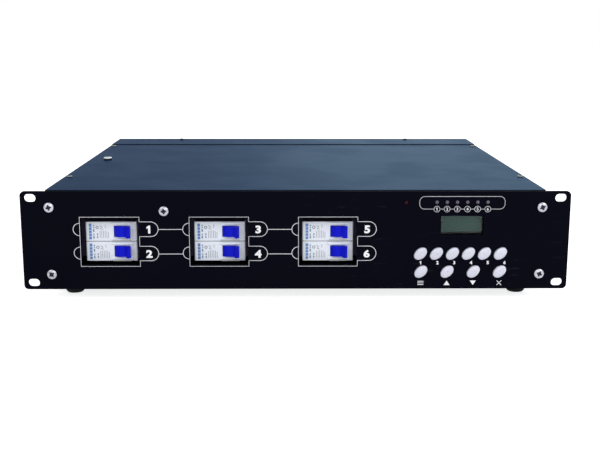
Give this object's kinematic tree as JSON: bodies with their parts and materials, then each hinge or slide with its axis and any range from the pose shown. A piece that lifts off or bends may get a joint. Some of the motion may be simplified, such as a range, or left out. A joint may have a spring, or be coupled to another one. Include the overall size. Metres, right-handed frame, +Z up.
{
  "type": "dimmer pack",
  "caption": "Rack-mounted stage dimmer with circuit breakers, channel buttons, menu buttons, a display and lamps in front, and mains outlets, signal sockets and a cable gland behind.",
  "frame": {"origin": "on the ground, under the middle of the pack's outline seen from above", "axes": "+Z up, front plate facing -Y, +X to the right seen from the front"},
  "size_m": [0.4826, 0.434, 0.1006],
  "materials": {
    "panel_paint": "satin black powder coat",
    "case_paint": "fine-grained slate black powder coat",
    "foot_rubber": "matt black rubber",
    "zinc_steel": "bright zinc plating",
    "breaker_plastic": "semi-gloss white moulding",
    "toggle_blue": "glossy blue moulding",
    "button_silver": "silver-white lacquered plastic",
    "clear_pane": "clear acrylic",
    "display_glass": "grey-green display glass in a dark frame",
    "circuit_board": "green solder mask",
    "lamp_red": "unlit red lens",
    "lamp_grey": "unlit clear lens",
    "outlet_plastic": "satin black moulding",
    "socket_metal": "satin nickel plating",
    "black_nylon": "matt black nylon",
    "aluminium": "natural extruded aluminium",
    "transformer_steel": "varnished laminations and winding",
    "terminal_plastic": "matt grey moulding"
  },
  "bodies": {
    "pack": {"front_panel": "panel_paint", "chassis_tray": "case_paint", "top_cover": "case_paint", "rear_panel": "case_paint", "foot_front_left": "foot_rubber", "foot_front_right": "foot_rubber", "foot_rear_left": "foot_rubber", "foot_rear_right": "foot_rubber", "panel_screw_upper_left": "zinc_steel", "panel_screw_lower_left": "zinc_steel", "panel_screw_upper_right": "zinc_steel", "panel_screw_lower_right": "zinc_steel", "panel_screw_middle": "zinc_steel", "earth_screw": "zinc_steel", "breaker_bracket": "zinc_steel", "display_window": "clear_pane", "display_module": "display_glass", "control_board": "circuit_board", "power_led": "lamp_red", "channel_led_bar": "lamp_grey", "signal_input_socket": "socket_metal", "signal_output_socket": "socket_metal", "gland_body": "black_nylon", "gland_nut": "black_nylon", "power_board": "circuit_board", "heatsink": "aluminium", "control_transformer": "transformer_steel", "mains_terminal_block": "terminal_plastic", "fan_frame": "black_nylon", "breaker_1": "breaker_plastic", "mains_outlet_1": "outlet_plastic", "breaker_2": "breaker_plastic", "mains_outlet_2": "outlet_plastic", "breaker_3": "breaker_plastic", "mains_outlet_3": "outlet_plastic", "breaker_4": "breaker_plastic", "mains_outlet_4": "outlet_plastic", "breaker_5": "breaker_plastic", "mains_outlet_5": "outlet_plastic", "breaker_6": "breaker_plastic", "mains_outlet_6": "outlet_plastic"},
    "breaker_lever_1": {"breaker_lever_1": "toggle_blue"},
    "breaker_lever_2": {"breaker_lever_2": "toggle_blue"},
    "breaker_lever_3": {"breaker_lever_3": "toggle_blue"},
    "breaker_lever_4": {"breaker_lever_4": "toggle_blue"},
    "breaker_lever_5": {"breaker_lever_5": "toggle_blue"},
    "breaker_lever_6": {"breaker_lever_6": "toggle_blue"},
    "channel_button_1": {"channel_button_1": "button_silver"},
    "channel_button_2": {"channel_button_2": "button_silver"},
    "channel_button_3": {"channel_button_3": "button_silver"},
    "channel_button_4": {"channel_button_4": "button_silver"},
    "channel_button_5": {"channel_button_5": "button_silver"},
    "channel_button_6": {"channel_button_6": "button_silver"},
    "down_button": {"down_button": "button_silver"},
    "escape_button": {"escape_button": "button_silver"},
    "fan_impeller": {"fan_impeller": "black_nylon"},
    "menu_button": {"menu_button": "button_silver"},
    "signal_output_latch": {"signal_output_latch": "socket_metal"},
    "up_button": {"up_button": "button_silver"}
  },
  "joints": [
    {"name": "breaker_lever_1_hinge", "type": "hinge", "parent": "pack", "child": "breaker_lever_1", "pos_m": [-0.1551, -0.2026, 0.0608], "axis": [0, 0, -1], "range_deg": [0, 84]},
    {"name": "breaker_lever_2_hinge", "type": "hinge", "parent": "pack", "child": "breaker_lever_2", "pos_m": [-0.1551, -0.2026, 0.0428], "axis": [0, 0, -1], "range_deg": [0, 84]},
    {"name": "breaker_lever_3_hinge", "type": "hinge", "parent": "pack", "child": "breaker_lever_3", "pos_m": [-0.0591, -0.2026, 0.0608], "axis": [0, 0, -1], "range_deg": [0, 84]},
    {"name": "breaker_lever_4_hinge", "type": "hinge", "parent": "pack", "child": "breaker_lever_4", "pos_m": [-0.0591, -0.2026, 0.0428], "axis": [0, 0, -1], "range_deg": [0, 84]},
    {"name": "breaker_lever_5_hinge", "type": "hinge", "parent": "pack", "child": "breaker_lever_5", "pos_m": [0.0369, -0.2026, 0.0608], "axis": [0, 0, -1], "range_deg": [0, 84]},
    {"name": "breaker_lever_6_hinge", "type": "hinge", "parent": "pack", "child": "breaker_lever_6", "pos_m": [0.0369, -0.2026, 0.0428], "axis": [0, 0, -1], "range_deg": [0, 84]},
    {"name": "channel_button_1_push", "type": "slide", "parent": "pack", "child": "channel_button_1", "axis": [0, 1, 0], "range_m": [0, 0.0008], "stiffness_N_per_m": 2000},
    {"name": "channel_button_2_push", "type": "slide", "parent": "pack", "child": "channel_button_2", "axis": [0, 1, 0], "range_m": [0, 0.0008], "stiffness_N_per_m": 2000},
    {"name": "channel_button_3_push", "type": "slide", "parent": "pack", "child": "channel_button_3", "axis": [0, 1, 0], "range_m": [0, 0.0008], "stiffness_N_per_m": 2000},
    {"name": "channel_button_4_push", "type": "slide", "parent": "pack", "child": "channel_button_4", "axis": [0, 1, 0], "range_m": [0, 0.0008], "stiffness_N_per_m": 2000},
    {"name": "channel_button_5_push", "type": "slide", "parent": "pack", "child": "channel_button_5", "axis": [0, 1, 0], "range_m": [0, 0.0008], "stiffness_N_per_m": 2000},
    {"name": "channel_button_6_push", "type": "slide", "parent": "pack", "child": "channel_button_6", "axis": [0, 1, 0], "range_m": [0, 0.0008], "stiffness_N_per_m": 2000},
    {"name": "menu_button_push", "type": "slide", "parent": "pack", "child": "menu_button", "axis": [0, 1, 0], "range_m": [0, 0.0008], "stiffness_N_per_m": 2000},
    {"name": "up_button_push", "type": "slide", "parent": "pack", "child": "up_button", "axis": [0, 1, 0], "range_m": [0, 0.0008], "stiffness_N_per_m": 2000},
    {"name": "down_button_push", "type": "slide", "parent": "pack", "child": "down_button", "axis": [0, 1, 0], "range_m": [0, 0.0008], "stiffness_N_per_m": 2000},
    {"name": "escape_button_push", "type": "slide", "parent": "pack", "child": "escape_button", "axis": [0, 1, 0], "range_m": [0, 0.0008], "stiffness_N_per_m": 2000},
    {"name": "signal_output_latch_push", "type": "slide", "parent": "pack", "child": "signal_output_latch", "axis": [0, -1, 0], "range_m": [0, 0.0016], "stiffness_N_per_m": 900},
    {"name": "fan_spin", "type": "hinge", "parent": "pack", "child": "fan_impeller", "pos_m": [0.2122, 0.1164, 0.05405], "axis": [1, 0, 0], "continuous": true}
  ]
}
